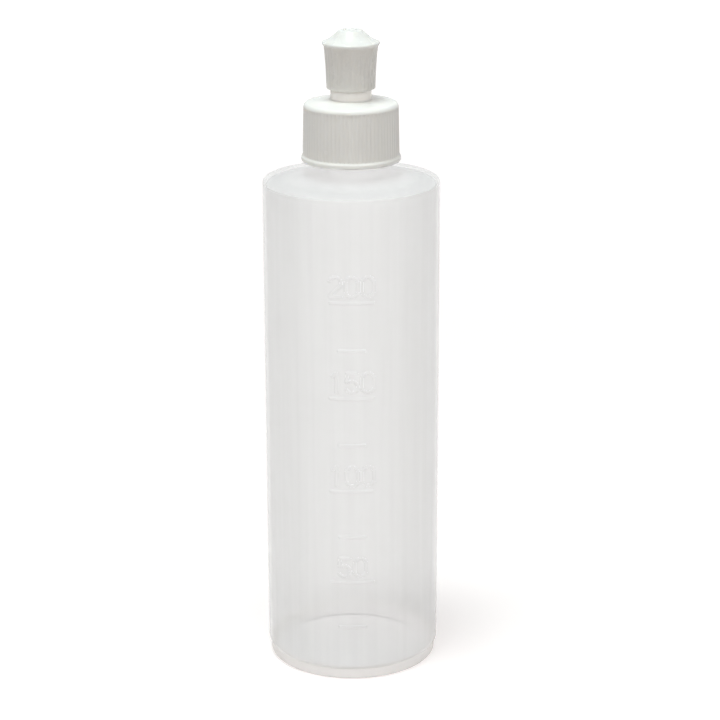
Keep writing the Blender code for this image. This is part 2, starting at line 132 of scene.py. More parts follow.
SPOKE_HEIGHT = 0.0020
SPOKE_DROP = 0.0015
SPOKE_SINK = 0.0004
SPOKE_SQUARENESS_SHARE = 0.4             # of a round section's power, so that corners are tight
PIN_FOOT_RADIUS = 0.0019
PIN_SHANK_RADIUS = 0.0015
PIN_CONE_HEIGHT = 0.0030
PIN_TIP_GAP = 0.00008                    # between the pin's tip and the orifice round it
PIN_TIP_LENGTH = 0.0022
PIN_TIP_CROWN = 0.00035                  # how far the tip's middle stands above its edge

# Pull spout
SPOUT_TRAVEL = 0.0035
SPOUT_BEAD_LENGTH = 0.0009
SPOUT_BEAD_GAP = 0.00025
SPOUT_BEAD_SLOPE = 0.0004
COUNTERBORE_DEPTH = 0.0005
SPOUT_FOOT_WALL = 0.00079
SPOUT_FOOT_EDGE_RADIUS = 0.0002
BARREL_FLARE = 0.00070
BARREL_WAIST = 0.00013                   # how far its sides are hollowed half-way up
BARREL_HEIGHT = 0.0117
RIM_PROUD = 0.00053
RIM_EDGE_RADIUS = 0.00045
RIM_FLARE_HEIGHT = 0.0009
NOSE_RADIUS = 0.0041
NOSE_EDGE_RADIUS = 0.0015
RIM_UNDERSIDE_ANGLE = 45
NOSE_FOOT_ANGLE = 14
NOSE_SIDE_ANGLE = 46
SPOUT_WALL = 0.0011
ORIFICE_LENGTH = 0.0016
ORIFICE_LEAD = 0.00025
FLUTE_COUNT = 30
FLUTE_DEPTH = 0.00012
FLUTE_WIDTH_SHARE = 0.45                 # of the way from one flute to the next
FLUTE_FOOT_MARGIN = 0.0004
FLUTE_TOP_MARGIN = 0.0009
FLUTE_END_LENGTH = 0.0003

# Natural plastic of the bottle
NATURAL_SHADER = {"Transmission Weight": 0.25, "IOR": 1.51}
NATURAL_SKIN = {
    "Light Colour": (0.984, 0.987, 0.991, 1),
    "Deep Colour": (0.970, 0.973, 0.977, 1),
    "Mottle Scale": 45.0,                # lumps in a metre, as in the other skins
    "Roughness": 0.5,
    "Roughness Spread": 0.05,
    "Grain": 0.25,
    "Waviness": 1.0,
}
NATURAL_WAVE_HEIGHT = 0.00005
FOOT_COLOUR = (0.93, 0.90, 0.87)
# painted shade, darkening the shoulder that faces the key lamp above
SHOULDER_PAINTED_SHADE = (0.75, 0.75, 0.76)
FLANK_PAINTED_SHADE = (0.80, 0.81, 0.83)           # painted shade on the flanks of the raised figures
WALL_DENSITY = (0.283, 0.297)            # the light that a face stops, between the streaks and in one
STREAK_SIZE = 0.004
STREAK_STRETCH = (1.0, 1.0, 0.03)
STREAK_SPAN = (0.3, 0.7)                 # the noise's values where a streak starts and is full
FOOT_DENSITY = 0.5
# the flanks are denser too, so that their painted shade shows
FLANK_DENSITY = 0.55
NECK_DENSITY_SHARE = 0.6                 # of what a face stops elsewhere: painted light, letting more white through where the cap shades the neck
PATCH_DENSITY_SHARE = 0.1
PATCH_PLACE = (0.0055, 0.011, 0.0)       # painted light: a part of the floor that lets more through, where light passes through the base
PATCH_RADII = (0.012, 0.026)             # out to where it is thinnest, and to where it ends
SPECK_COLOUR = (0.45, 0.43, 0.40)
SPECK_DENSITY = 0.8
SPECKS = {
    "Cell Scale": 55.0,
    "Cell Share": 0.05,                  # of the cells, those that hold a speck
    "Radius Share": 0.022,               # of a cell's width
}

# White plastic of the cap and spout
WHITE_SHADER = {
    "Subsurface Weight": 0.4,
    "Subsurface Scale": 0.002,
    "Subsurface Radius": (1.0, 0.95, 0.85),  # times that scale, for red, green and blue
    "IOR": 1.49,
    "Specular IOR Level": 0.3,
}
WHITE_SKIN = {"Roughness Spread": 0.06, "Grain": 0.5, "Waviness": 0.25}
WHITE_WAVE_HEIGHT = 0.00001
CAP_SKIN = {
    **WHITE_SKIN,
    "Light Colour": (0.825, 0.817, 0.798, 1),
    "Deep Colour": (0.805, 0.797, 0.778, 1),
    "Mottle Scale": 160.0,
    "Roughness": 0.25,
}
SPOUT_SKIN = {
    **WHITE_SKIN,
    "Light Colour": (0.785, 0.78, 0.762, 1),
    "Deep Colour": (0.77, 0.765, 0.747, 1),
    "Mottle Scale": 220.0,
    "Roughness": 0.27,
}
# painted shade: darkens the ribbed skirt and the bead's top below the deck, as side faces get less light
SKIRT_PAINTED_SHADE = (0.925, 0.915, 0.905)
COLLAR_PAINTED_LIGHT = (1.24, 1.19, 1.15)         # painted light: over 1, which lifts it out of the spout's shade
# painted shade: darkens the barrel's sides below the rim and nose, as side faces get less light
BARREL_PAINTED_SHADE = (0.915, 0.90, 0.88)

# Foam of the liner
FOAM_SHADER = {"Specular IOR Level": 0.2}
FOAM_SKIN = {
    "Light Colour": (0.88, 0.88, 0.87, 1),
    "Deep Colour": (0.82, 0.82, 0.81, 1),
    "Mottle Scale": 900.0,
    "Roughness": 0.85,
    "Roughness Spread": 0.05,
    "Grain": 0.6,
    "Waviness": 0.2,
}
FOAM_CELL = 0.0002
FOAM_CELL_HEIGHT = 0.8                   # of the bump, where the skin's own part is 1

# What these finishes share
BAND_BLEND = 0.0006                      # over which a tinted band fades in or out
GRAIN_SIZE = 0.00035
WAVE_SIZE = 0.012
FLOW_STRETCH = (1.0, 1.0, 0.15)
MOTTLE_DETAIL = 3.0
MOTTLE_ROUGHNESS = 0.55
SHADE_SPAN = (0.35, 0.65)                # the noise's values where each of a skin's two colours is pure
MIX_FIRST = 6                            # places of a Mix node's colours among its sockets
MIX_SECOND = 7
MIX_RESULT = 2

# Stage
FLOOR_SIZE = 12.0
FLOOR_DROP = 0.00002                     # keeps the floor clear of the foot ring's underside
FLOOR_MOTTLE = 0.3
FLOOR_SHADER = {"Roughness": 0.9, "Specular IOR Level": 0.1}
FLOOR_LIGHT = (0.72, 0.67, 0.675)
FLOOR_DEEP = (0.71, 0.66, 0.665)
FLOOR_GLOW = (1.0, 0.985, 0.98)
FLOOR_WHITE = 1.10                       # what is seen of the floor, away from shadows
FLOOR_LIT = 0.70                         # how bright the lamps make its middle, on the same scale
WORLD_COLOUR = (1.0, 0.975, 0.94)
HORIZON_LIGHT = 0.20
ZENITH_LIGHT = 0.03
HORIZON_BAND = (0.35, 0.75)              # the sky dims between these heights on a sphere of radius 1
KEY_PLACE = (-0.09, -0.12, 1.35)
KEY_SIZE = 0.35
KEY_POWER = 10.8
KEY_COLOUR = (0.89, 1.0, 0.985)
LEFT_PLACE = (-0.75, -0.55, 0.95)
LEFT_SIZE = 0.9
LEFT_POWER = 4.1
RIGHT_PLACE = (0.7, -0.6, 0.95)
RIGHT_SIZE = 0.8
RIGHT_POWER = 4.6
SIDE_COLOUR = (1.0, 0.99, 0.96)
FRONT_PLACE = (0.0, -1.3, 0.40)
FRONT_SIZE = 0.9
FRONT_POWER = 2.2

# Camera: metres, degrees and millimetres
CAMERA_PLACE = (0.0, -0.616866, 0.284021)
CAMERA_PITCH = 17.508                    # below level
CAMERA_YAW = 0.217                       # to the right
CAMERA_ROLL = -0.14
CAMERA_LENS = 112.174
CAMERA_SENSOR = 36.0
CAMERA_CLIP_START = 0.01

# How finely surfaces are divided
ARC_POINTS = 9
ARC_STEP = 13                            # degrees of a rounded corner between two rows
SMALL_FILLET = 0.0002                    # up to here a corner has half as many rows
BODY_COLUMNS = 120
FINE_STEP = 0.0002
THREAD_ROW = 0.00025
PLAIN_ROW = 0.004
SKIRT_ROW = 0.001
COLUMNS_A_RIB = 8
COLUMNS_A_FLUTE = 14
PIN_COLUMNS = 48
SHARP_ANGLE = 40
MERGE_DISTANCE = 0.0000001

# Heights and radii that follow
CAP_BORE_RADIUS = NECK_RADIUS + THREAD_DEPTH + THREAD_CLEARANCE
BEAD_RADIUS = CAP_HIGH.x - BEAD_INSET
VALLEY_LOW_RADIUS = CAP_BORE_RADIUS + SKIRT_WALL
VALLEY_TOP_RADIUS = VALLEY_LOW_RADIUS - SKIRT_TAPER
DECK_RADIUS = VALLEY_TOP_RADIUS + RIB_HEIGHT
FOOT_RADIUS = BODY_RADIUS - FOOT_STEP
MOUTH_BORE_RADIUS = NECK_RADIUS - NECK_WALL
STEM_BORE_RADIUS = STEM_RADIUS - STEM_WALL
STEM_BEAD_RADIUS = STEM_RADIUS + STEM_BEAD_PROUD
COLLAR_RADIUS = STEM_RADIUS + COLLAR_STEP
COUNTERBORE_RADIUS = COLLAR_RADIUS + SLIDE_GAP
SPOUT_FOOT_RADIUS = COUNTERBORE_RADIUS + SPOUT_FOOT_WALL
BARREL_TOP_RADIUS = SPOUT_FOOT_RADIUS + BARREL_FLARE
RIM_RADIUS = BARREL_TOP_RADIUS + RIM_PROUD
SPOUT_BORE_RADIUS = STEM_BEAD_RADIUS + SLIDE_GAP
SPOUT_BEAD_RADIUS = STEM_RADIUS + SPOUT_BEAD_GAP
ORIFICE_RADIUS = PIN_SHANK_RADIUS + SLIDE_GAP
CAP_CEILING = LINER_HIGH.z + SEAT_GAP
SKIRT_FOOT = CAP_LOW.z + LIP_RISE
RIBS_FOOT = SKIRT_FOOT + BEAD_HEIGHT + BEAD_SLOPE_HEIGHT
DECK_RIM_HEIGHT = CAP_CEILING + DECK_THICKNESS
DECK_EDGE_HEIGHT = DECK_RIM_HEIGHT - DECK_EDGE_RADIUS
COLLAR_FOOT = DECK_RIM_HEIGHT + DECK_RISE
COLLAR_TOP = COLLAR_FOOT + COLLAR_HEIGHT
SPOUT_STOP = SPOUT_FOOT + COUNTERBORE_DEPTH
SPOUT_BEAD_TOP = SPOUT_STOP + SPOUT_BEAD_LENGTH
STEM_BEAD_FOOT = SPOUT_BEAD_TOP + SPOUT_TRAVEL + SEAT_GAP
STEM_BEAD_TOP = STEM_BEAD_FOOT + STEM_BEAD_LENGTH
STEM_TOP = STEM_BEAD_TOP + STEM_BEAD_SLOPE + STEM_LIP_HEIGHT
BARREL_TOP = SPOUT_FOOT + BARREL_HEIGHT
RIM_MIDDLE = BARREL_TOP + RIM_FLARE_HEIGHT
NECK_THREAD_TOP = MOUTH_HEIGHT - THREAD_TOP_DROP
CAP_THREAD_TOP = NECK_THREAD_TOP - THREAD_LEAD / 2


# Outlines: each is an array of (radius, height) points

def arc(centre_r, centre_z, radius, start, end, points=ARC_POINTS):
    """Points of a circle about (centre_r, centre_z) from the start angle to the end angle in degrees."""
    a = np.radians(np.linspace(start, end, points))
    return np.stack([centre_r + radius * np.cos(a), centre_z + radius * np.sin(a)], 1)


def rounded(corners, closed=False):
    """A line through (radius, height, fillet) corners, with an arc in place of each that has a fillet.

    An arc touches both sides of its corner. Its centre lies fillet / sin(half the corner's angle) away.
    """
    corners = np.array(corners, float)
    before, after = np.roll(corners, 1, 0), np.roll(corners, -1, 0)
    pieces = []
    for k, (p, fillet) in enumerate(zip(corners[:, :2], corners[:, 2])):
        if fillet == 0 or not closed and k in (0, len(corners) - 1):
            pieces.append(p[None])
            continue
        u, v = before[k, :2] - p, after[k, :2] - p
        u, v = u / np.linalg.norm(u), v / np.linalg.norm(v)
        half = math.acos(u @ v) / 2
        away = (u + v) / np.linalg.norm(u + v) * fillet / math.sin(half)
        a, b = u * fillet / math.tan(half) - away, v * fillet / math.tan(half) - away
        turn = math.pi - 2 * half
        step = ARC_STEP if fillet > SMALL_FILLET else 2 * ARC_STEP
        t = np.linspace(0, 1, 1 + math.ceil(math.degrees(turn) / step))[:, None]
        pieces.append(p + away + (np.sin((1 - t) * turn) * a + np.sin(t * turn) * b) / math.sin(turn))
    return np.concatenate(pieces)


def sweep(start, start_angle, end, end_angle, points=2 * ARC_POINTS):
    """A quadratic curve from start to end that leaves and arrives at these slopes, in degrees."""
    first, last = math.tan(math.radians(start_angle)), math.tan(math.radians(end_angle))
    r = (end[1] - start[1] + last * end[0] - first * start[0]) / (last - first)
    corner = np.array([r, start[1] + first * (start[0] - r)])
    t = np.linspace(0, 1, points)[:, None]
    return (1 - t) ** 2 * np.array(start) + 2 * t * (1 - t) * corner + t ** 2 * np.array(end)


def divided(outline, longest):
    """The outline with each stretch cut into parts no longer than longest, one length or one for each."""
    length = np.linalg.norm(np.diff(outline, axis=0), axis=1)
    count = np.maximum(1, np.ceil(length / longest)).astype(int)
    first = np.repeat(np.arange(len(count)), count)
    share = np.arange(len(first)) - np.repeat(np.cumsum(count) - count, count)
    share = (share / np.repeat(count, count))[:, None]
    points = outline[first] * (1 - share) + outline[first + 1] * share
    return np.concatenate([points, outline[-1:]])


def distinct(outline):
    """The outline without points that repeat the one before."""
    apart = np.linalg.norm(np.diff(outline, axis=0), axis=1) > MERGE_DISTANCE
    return outline[np.concatenate([[True], apart])]


# Meshes from grids

def add_object(name, data):
    """A new object in the scene that holds this mesh, lamp or camera."""
    obj = bpy.data.objects.new(name, data)
    bpy.context.scene.collection.objects.link(obj)
    return obj


def mesh_object(name, points, faces, material):
    """An object at the origin of these faces, an array for each number of corners, and their points."""
    used, place = np.unique(np.concatenate([f.ravel() for f in faces]), return_inverse=True)
    ends = np.cumsum([f.size for f in faces])[:-1]
    corners = [part.reshape(f.shape).tolist() for part, f in zip(np.split(place, ends), faces)]
    mesh = bpy.data.meshes.new(name)
    mesh.from_pydata(points[used], [], sum(corners, []))
    mesh.shade_smooth()
    mesh.set_sharp_from_angle(angle=math.radians(SHARP_ANGLE))
    mesh.materials.append(material)
    return add_object(name, mesh)


def turned(name, radius, height, angles, material, closed):
    """A surface of revolution: point (i, j) lies at radius[i, j] from Z, at height[i, j] and angles[j].

    A closed outline joins its last row to its first. An open one starts and ends on the axis, where one
    point takes the place of a row. Outlines run so that their outer side goes down.
    """
    rows, columns = radius.shape
    points = np.stack([radius * np.cos(angles), radius * np.sin(angles), height], 2).reshape(-1, 3)
    upper = np.arange(rows * columns).reshape(rows, columns)
    lower = np.roll(upper, -1, 0)
    if not closed:
        upper, lower = upper[1:-2], lower[1:-2]
    faces = [np.stack([upper, lower, np.roll(lower, -1, 1), np.roll(upper, -1, 1)], 2).reshape(-1, 4)]
    if not closed:
        top, foot = upper[0], lower[-1]
        faces.append(np.concatenate([
            np.stack([np.zeros_like(top), top, np.roll(top, -1)], 1),
            np.stack([np.full_like(foot, len(points) - 1), np.roll(foot, -1), foot], 1),
        ]))
    return mesh_object(name, points, faces, material)


def even_angles(count):
    """The angles of this many columns, evenly spaced round the axis."""
    return np.arange(count) * math.tau / count


def over_angles(section, angle):
    """The section's radii and its heights, each as a grid with one column for each angle."""
    return (np.repeat(section[:, k, None], len(angle), 1) for k in (0, 1))


def smooth(x):
    """0 below 0, 1 above 1 and 3x^2 - 2x^3 between."""
    x = np.clip(x, 0, 1)
    return x * x * (3 - 2 * x)


def thread_relief(angle, height, top):
    """How far the right-hand thread stands out at each angle and height.

    A turn count T says where on the helix a point lies: its middle is at top - lead * T, at angle -360 T
    degrees. The relief falls from the crest to nothing with the distance to the nearest turn's middle.
    """
    part = np.mod(-angle / math.tau, 1.0)
    turns = part + np.round((top - height) / THREAD_LEAD - part)
    inside = (turns >= 0) & (turns <= THREAD_TURNS)
    grown = smooth(np.minimum(turns, THREAD_TURNS - turns) / THREAD_END_TURNS)
    away = np.abs(height - (top - THREAD_LEAD * turns))
    flank = (THREAD_ROOT_WIDTH - THREAD_CREST_WIDTH) / 2
    return np.where(inside, THREAD_DEPTH * grown * smooth((THREAD_ROOT_WIDTH / 2 - away) / flank), 0.0)


# Figures of the fill scale, in shares of a figure's height: lines as x, y to x, y, and arcs as centre
# x, y, radius and the angles in degrees that they run between
BOWL_SHARE = 0.30
FIGURE_LINE_SHARES = {
    "0": ((-BOWL_SHARE, -0.2, -BOWL_SHARE, 0.2), (BOWL_SHARE, -0.2, BOWL_SHARE, 0.2)),
    "1": ((0.02, -0.5, 0.02, 0.5), (0.02, 0.5, -0.18, 0.34)),
    "2": ((0.26, 0.06, -0.30, -0.5), (-0.30, -0.5, 0.30, -0.5)),
    "5": ((0.26, 0.5, -0.24, 0.5), (-0.24, 0.5, -0.28, 0.06)),
}
FIGURE_ARC_SHARES = {
    "0": ((0, 0.2, BOWL_SHARE, 0, 180), (0, -0.2, BOWL_SHARE, 180, 360)),
    "1": (),
    "2": ((0, 0.2, BOWL_SHARE, -28, 165),),
    "5": ((-0.01, -0.2, BOWL_SHARE, -150, 120),),
}


def line_distance(x, y, x0, y0, x1, y1):
    """Distance from each point to the line from (x0, y0) to (x1, y1)."""
    dx, dy = x1 - x0, y1 - y0
    t = np.clip(((x - x0) * dx + (y - y0) * dy) / (dx * dx + dy * dy), 0, 1)
    return np.hypot(x - x0 - t * dx, y - y0 - t * dy)


def arc_distance(x, y, cx, cy, radius, start, end):
    """Distance from each point to an arc, which is to the circle beside it and to its ends past them."""
    a = np.mod(np.degrees(np.arctan2(y - cy, x - cx)) - start, 360)
    ring = np.abs(np.hypot(x - cx, y - cy) - radius)
    limits = np.radians([start, end])
    ends = [np.hypot(x - cx - radius * math.cos(e), y - cy - radius * math.sin(e)) for e in limits]
    return np.where(a <= end - start, ring, np.minimum(*ends))


def figure_distance(x, y, number):
    """Distance to the strokes of a number centred on (0, 0)."""
    text = str(number)
    nearest = np.full(x.shape, FIGURE_HEIGHT)
    for k, figure in enumerate(text):
        u = (x - (k - (len(text) - 1) / 2) * FIGURE_PITCH) / FIGURE_HEIGHT
        v = y / FIGURE_HEIGHT
        for line in FIGURE_LINE_SHARES[figure]:
            nearest = np.minimum(nearest, line_distance(u, v, *line) * FIGURE_HEIGHT)
        for bow in FIGURE_ARC_SHARES[figure]:
            nearest = np.minimum(nearest, arc_distance(u, v, *bow) * FIGURE_HEIGHT)
    return nearest


def fill_height(volume):
    """Height to which this volume fills the bottle, taken as a plain cylinder above its raised floor."""
    floor = PUSH_UP_STEP + BASE_WALL + PUSH_UP_RISE / 2
    return floor + volume * MILLILITRE / (math.pi * (BODY_RADIUS - BODY_WALL) ** 2)


def tick_heights(volume):
    """Heights of this volume's long tick and of the short one half a step below it."""
    step = SCALE_VOLUMES[1] - SCALE_VOLUMES[0]
    return fill_height(volume), fill_height(volume - step / 2)


def scale_relief(across, height):
    """How far the fill scale stands out, at each distance across the front and each height."""
    nearest = np.full(across.shape, FIGURE_HEIGHT)
    for volume in SCALE_VOLUMES:
        full, half = tick_heights(volume)
        above = height - full - TICK_GAP - FIGURE_HEIGHT / 2
        nearest = np.minimum(nearest, figure_distance(across, above, volume))
        for level, length in ((full, TICK_LENGTH), (half, HALF_TICK_LENGTH)):
            tick = line_distance(across, height, -length, level, length, level)
            nearest = np.minimum(nearest, tick)
    return FIGURE_RELIEF * smooth((FIGURE_LINE - nearest) / (FIGURE_LINE / 2))


def scale_bands():
    """The heights between which the fill scale needs fine rows, from the lowest up."""
    bands = []
    for volume in SCALE_VOLUMES:
        full, half = tick_heights(volume)
        bands.append((half - 2 * FIGURE_LINE, half + 2 * FIGURE_LINE))
        bands.append((full - 2 * FIGURE_LINE, full + TICK_GAP + FIGURE_HEIGHT + 2 * FIGURE_LINE))
    return bands


# Bottle

def shoulder_corners(body_radius, edge_radius, edge_height, neck_radius, fillet_radius):
    """The shoulder's two corners with their fillets, at the side wall and at the neck."""
    angle = math.atan2(SHOULDER_RISE, BODY_RADIUS - NECK_RADIUS)
    edge_r = body_radius - edge_radius * (1 - math.sin(angle))
    edge_z = edge_height - edge_radius * (1 - math.cos(angle))
    neck_z = edge_z + (edge_r - neck_radius) * math.tan(angle)
    wall_z = edge_z - (body_radius - edge_r) * math.tan(angle)
    return [(body_radius, wall_z, edge_radius), (neck_radius, neck_z, fillet_radius)]


def floor_bulge(radius):
    """How high the base panel stands at this radius: a paraboloid on top of its step."""
    panel = FOOT_RADIUS - FOOT_EDGE_RADIUS - FOOT_FLAT_WIDTH - PUSH_UP_STEP
    return PUSH_UP_STEP + PUSH_UP_RISE * (1 - np.minimum(radius / panel, 1) ** 2)


def bottle_outside():
    """From the middle of the base over the foot ring, heel, wall, shoulder and neck to the mouth."""
    flat_outer = FOOT_RADIUS - FOOT_EDGE_RADIUS
    flat_inner = flat_outer - FOOT_FLAT_WIDTH
    panel_r = np.linspace(0, flat_inner - PUSH_UP_STEP, 2 * ARC_POINTS)
    panel = np.stack([panel_r, floor_bulge(panel_r)], 1)
    heel_r, heel_z = BODY_RADIUS - HEEL_RADIUS, FOOT_HEIGHT + HEEL_RADIUS
    heel_start = -math.degrees(math.acos((FOOT_RADIUS - heel_r) / HEEL_RADIUS))
    heel = arc(heel_r, heel_z, HEEL_RADIUS, heel_start, 0)
    foot = rounded([
        (*panel[-1], 0),
        (flat_inner, 0, FOOT_INNER_EDGE_RADIUS),
        (FOOT_RADIUS, 0, FOOT_EDGE_RADIUS),
        (*heel[0], 0),
    ])
    bands = np.array(scale_bands()).ravel()
    wall = np.stack([np.full_like(bands, BODY_RADIUS), bands], 1)
    wall = divided(wall, np.where(np.arange(len(bands) - 1) % 2, PLAIN_ROW, FINE_STEP))
    shoulder = rounded([
        (*wall[-1], 0),
        *shoulder_corners(
            BODY_RADIUS, SHOULDER_EDGE_RADIUS, SHOULDER_HEIGHT, NECK_RADIUS, NECK_FILLET_RADIUS
        ),
        (NECK_RADIUS, MOUTH_HEIGHT, MOUTH_EDGE_RADIUS),
        (MOUTH_BORE_RADIUS, MOUTH_HEIGHT, 0),
    ])[:-1]
    on_neck = shoulder[1:, 1] > SHOULDER_HEIGHT + SHOULDER_RISE
    shoulder = divided(shoulder, np.where(on_neck, THREAD_ROW, PLAIN_ROW))
    return np.concatenate([panel, divided(foot, PLAIN_ROW), heel, wall, shoulder])


def bottle_inside():
    """From the mouth down the bore, shoulder, wall and inner heel to the middle of the floor."""
    inner_radius, inner_heel = BODY_RADIUS - BODY_WALL, HEEL_RADIUS + BODY_WALL
    floor_z = FOOT_HEIGHT + HEEL_RADIUS - inner_heel
    wall_edge, neck_foot = shoulder_corners(
        inner_radius,
        INNER_EDGE_RADIUS,
        SHOULDER_HEIGHT - BODY_WALL,
        MOUTH_BORE_RADIUS,
        NECK_FILLET_RADIUS + BODY_WALL,
    )
    down = rounded([
        (NECK_RADIUS, MOUTH_HEIGHT, 0),
        (MOUTH_BORE_RADIUS, MOUTH_HEIGHT, MOUTH_EDGE_RADIUS),
        neck_foot,
        wall_edge,
        (inner_radius, floor_z, inner_heel),
        (0, floor_z, 0),
    ])[1:]
    down = divided(down, PLAIN_ROW)
    on_floor = down[:, 1] < floor_z + BODY_WALL
    raised = np.maximum(down[:, 1], BASE_WALL + floor_bulge(down[:, 0]))
    down[:, 1] = np.where(on_floor, raised, down[:, 1])
    return down


def bottle_columns():
    """Angles from the front, close together where the fill scale is and even elsewhere."""
    half = (FIGURE_PITCH * len(str(SCALE_VOLUMES[-1])) / 2 + FIGURE_LINE) / BODY_RADIUS
    fine = np.linspace(-half, half, round(2 * half * BODY_RADIUS / FINE_STEP))
    return np.concatenate([fine, np.linspace(half, math.tau - half, BODY_COLUMNS)[1:-1]])


def mark_flanks(obj, raised):
    """Gives each point the attribute flank: 4s(1 - s), for a point raised by the share s of the relief.

    The mesh keeps its grid's order, less the first and last row, each of which is one point on the axis.
    """
    flank = (4 * raised * (1 - raised))[1:-1].ravel()
    flank = np.concatenate([[0.0], flank, [0.0]])
    attribute = obj.data.attributes.new("flank", "FLOAT", "POINT")
    attribute.data.foreach_set("value", flank)


def make_bottle(material):
    """The shell: its section turned about Z, with the fill scale and the thread on its radius."""
    section = distinct(np.concatenate([bottle_outside(), bottle_inside()]))[::-1]
    from_front = bottle_columns()
    angle = from_front - math.pi / 2
    radius, height = over_angles(section, angle)
    across = (np.mod(from_front + math.pi, math.tau) - math.pi) * BODY_RADIUS
    on_wall = (radius > BODY_RADIUS - BODY_WALL / 2) & (height > FOOT_HEIGHT + HEEL_RADIUS)
    on_neck = (np.abs(radius - NECK_RADIUS) < MOUTH_EDGE_RADIUS / 4) & (height > SHOULDER_HEIGHT)
    scale = np.where(on_wall, scale_relief(across + 0 * height, height), 0)
    radius = radius + scale
    radius = radius + np.where(on_neck, thread_relief(angle + 0 * height, height, NECK_THREAD_TOP), 0)
    obj = turned("bottle_shell", radius, height, angle, material, closed=False)
    mark_flanks(obj, scale / FIGURE_RELIEF)
    return obj


# Sealing liner

def make_liner(material):
    """A flat foam washer whose edges are slightly rounded."""
    outer, inner = LINER_HIGH.x, STEM_BORE_RADIUS + LINER_HOLE_MARGIN
    section = rounded([
        (inner, LINER_HIGH.z, LINER_EDGE_RADIUS),
        (outer, LINER_HIGH.z, LINER_EDGE_RADIUS),
        (outer, LINER_LOW.z, LINER_EDGE_RADIUS),
        (inner, LINER_LOW.z, LINER_EDGE_RADIUS),
    ], closed=True)
    angle = even_angles(BODY_COLUMNS)
    radius, height = over_angles(section, angle)
    return turned("liner_washer", radius, height, angle, material, closed=True)


# Screw cap

def cap_section():
    """Down the stem's outside, over the deck, down the skirt and bead, and up the bore to the stem."""
    tilt = math.atan2(DECK_RISE, DECK_RADIUS - DECK_EDGE_RADIUS - COLLAR_RADIUS)
    deck_corner = DECK_EDGE_HEIGHT + DECK_EDGE_RADIUS * (1 / math.cos(tilt) - math.tan(tilt))
    section = rounded([
        (STEM_BORE_RADIUS, STEM_TOP, STEM_EDGE_RADIUS),
        (STEM_RADIUS, STEM_TOP, STEM_EDGE_RADIUS),
        (STEM_RADIUS, STEM_BEAD_TOP + STEM_BEAD_SLOPE, 0),
        (STEM_BEAD_RADIUS, STEM_BEAD_TOP, STEM_EDGE_RADIUS),
        (STEM_BEAD_RADIUS, STEM_BEAD_FOOT, STEM_EDGE_RADIUS),
        (STEM_RADIUS, STEM_BEAD_FOOT, 0),
        (STEM_RADIUS, COLLAR_TOP, 0),
        (COLLAR_RADIUS, COLLAR_TOP, COLLAR_EDGE_RADIUS),
        (COLLAR_RADIUS, COLLAR_FOOT, COLLAR_FILLET),
        (DECK_RADIUS, deck_corner, DECK_EDGE_RADIUS),
        (DECK_RADIUS, DECK_EDGE_HEIGHT - RIB_HEIGHT, 0),
        (VALLEY_TOP_RADIUS, DECK_EDGE_HEIGHT - 2 * RIB_HEIGHT, 0),
        (VALLEY_LOW_RADIUS, RIBS_FOOT, BEAD_SLOPE_HEIGHT),
        (BEAD_RADIUS, SKIRT_FOOT + BEAD_HEIGHT, BEAD_EDGE_RADIUS),
        (BEAD_RADIUS, SKIRT_FOOT, BEAD_EDGE_RADIUS),
        (CAP_BORE_RADIUS + LEAD_IN, SKIRT_FOOT, 0),
        (CAP_BORE_RADIUS, SKIRT_FOOT + LEAD_IN, 0),
        (CAP_BORE_RADIUS, CAP_CEILING, COLLAR_FILLET),
        (STEM_BORE_RADIUS, CAP_CEILING, COLLAR_FILLET),
    ], closed=True)
    in_bore = (np.abs(section[1:, 0] - CAP_BORE_RADIUS) < LEAD_IN / 2) & (section[1:, 1] < CAP_CEILING)
    on_skirt = (section[1:, 0] > CAP_BORE_RADIUS + SKIRT_WALL / 2) & (section[1:, 1] < DECK_EDGE_HEIGHT)
    longest = np.where(in_bore, THREAD_ROW, np.where(on_skirt, SKIRT_ROW, PLAIN_ROW))
    return distinct(divided(section, longest))


def rib_shape(angle):
    """0 in the valleys between the ribs and 1 on their crests, which are round."""
    away = np.abs(np.mod(angle * RIB_COUNT / math.tau, 1.0) - 1 / 2)
    return smooth(1 - away / RIB_HALF_WIDTH_SHARE)


def make_cap_shell(material):
    """The cap's section turned about Z, with the ribs on its skirt and the thread in its bore."""
    section = cap_section()
    angle = even_angles(RIB_COUNT * COLUMNS_A_RIB)
    radius, height = over_angles(section, angle)
    down = (DECK_EDGE_HEIGHT - height) / (DECK_EDGE_HEIGHT - RIBS_FOOT)
    valley = VALLEY_TOP_RADIUS + (VALLEY_LOW_RADIUS - VALLEY_TOP_RADIUS) * down
    ribbed = np.maximum(radius, valley + RIB_HEIGHT * rib_shape(angle))
    on_skirt = (radius > CAP_BORE_RADIUS + SKIRT_WALL / 2) & (height < DECK_EDGE_HEIGHT)
    radius = np.where(on_skirt & (height > SKIRT_FOOT + BEAD_HEIGHT), ribbed, radius)
    in_bore = (np.abs(radius - CAP_BORE_RADIUS) < LEAD_IN / 8) & (height < CAP_CEILING - COLLAR_FILLET)
    radius = radius - np.where(in_bore, thread_relief(angle + 0 * height, height, CAP_THREAD_TOP), 0)
    return turned("cap_shell", radius, height, angle, material, closed=True)


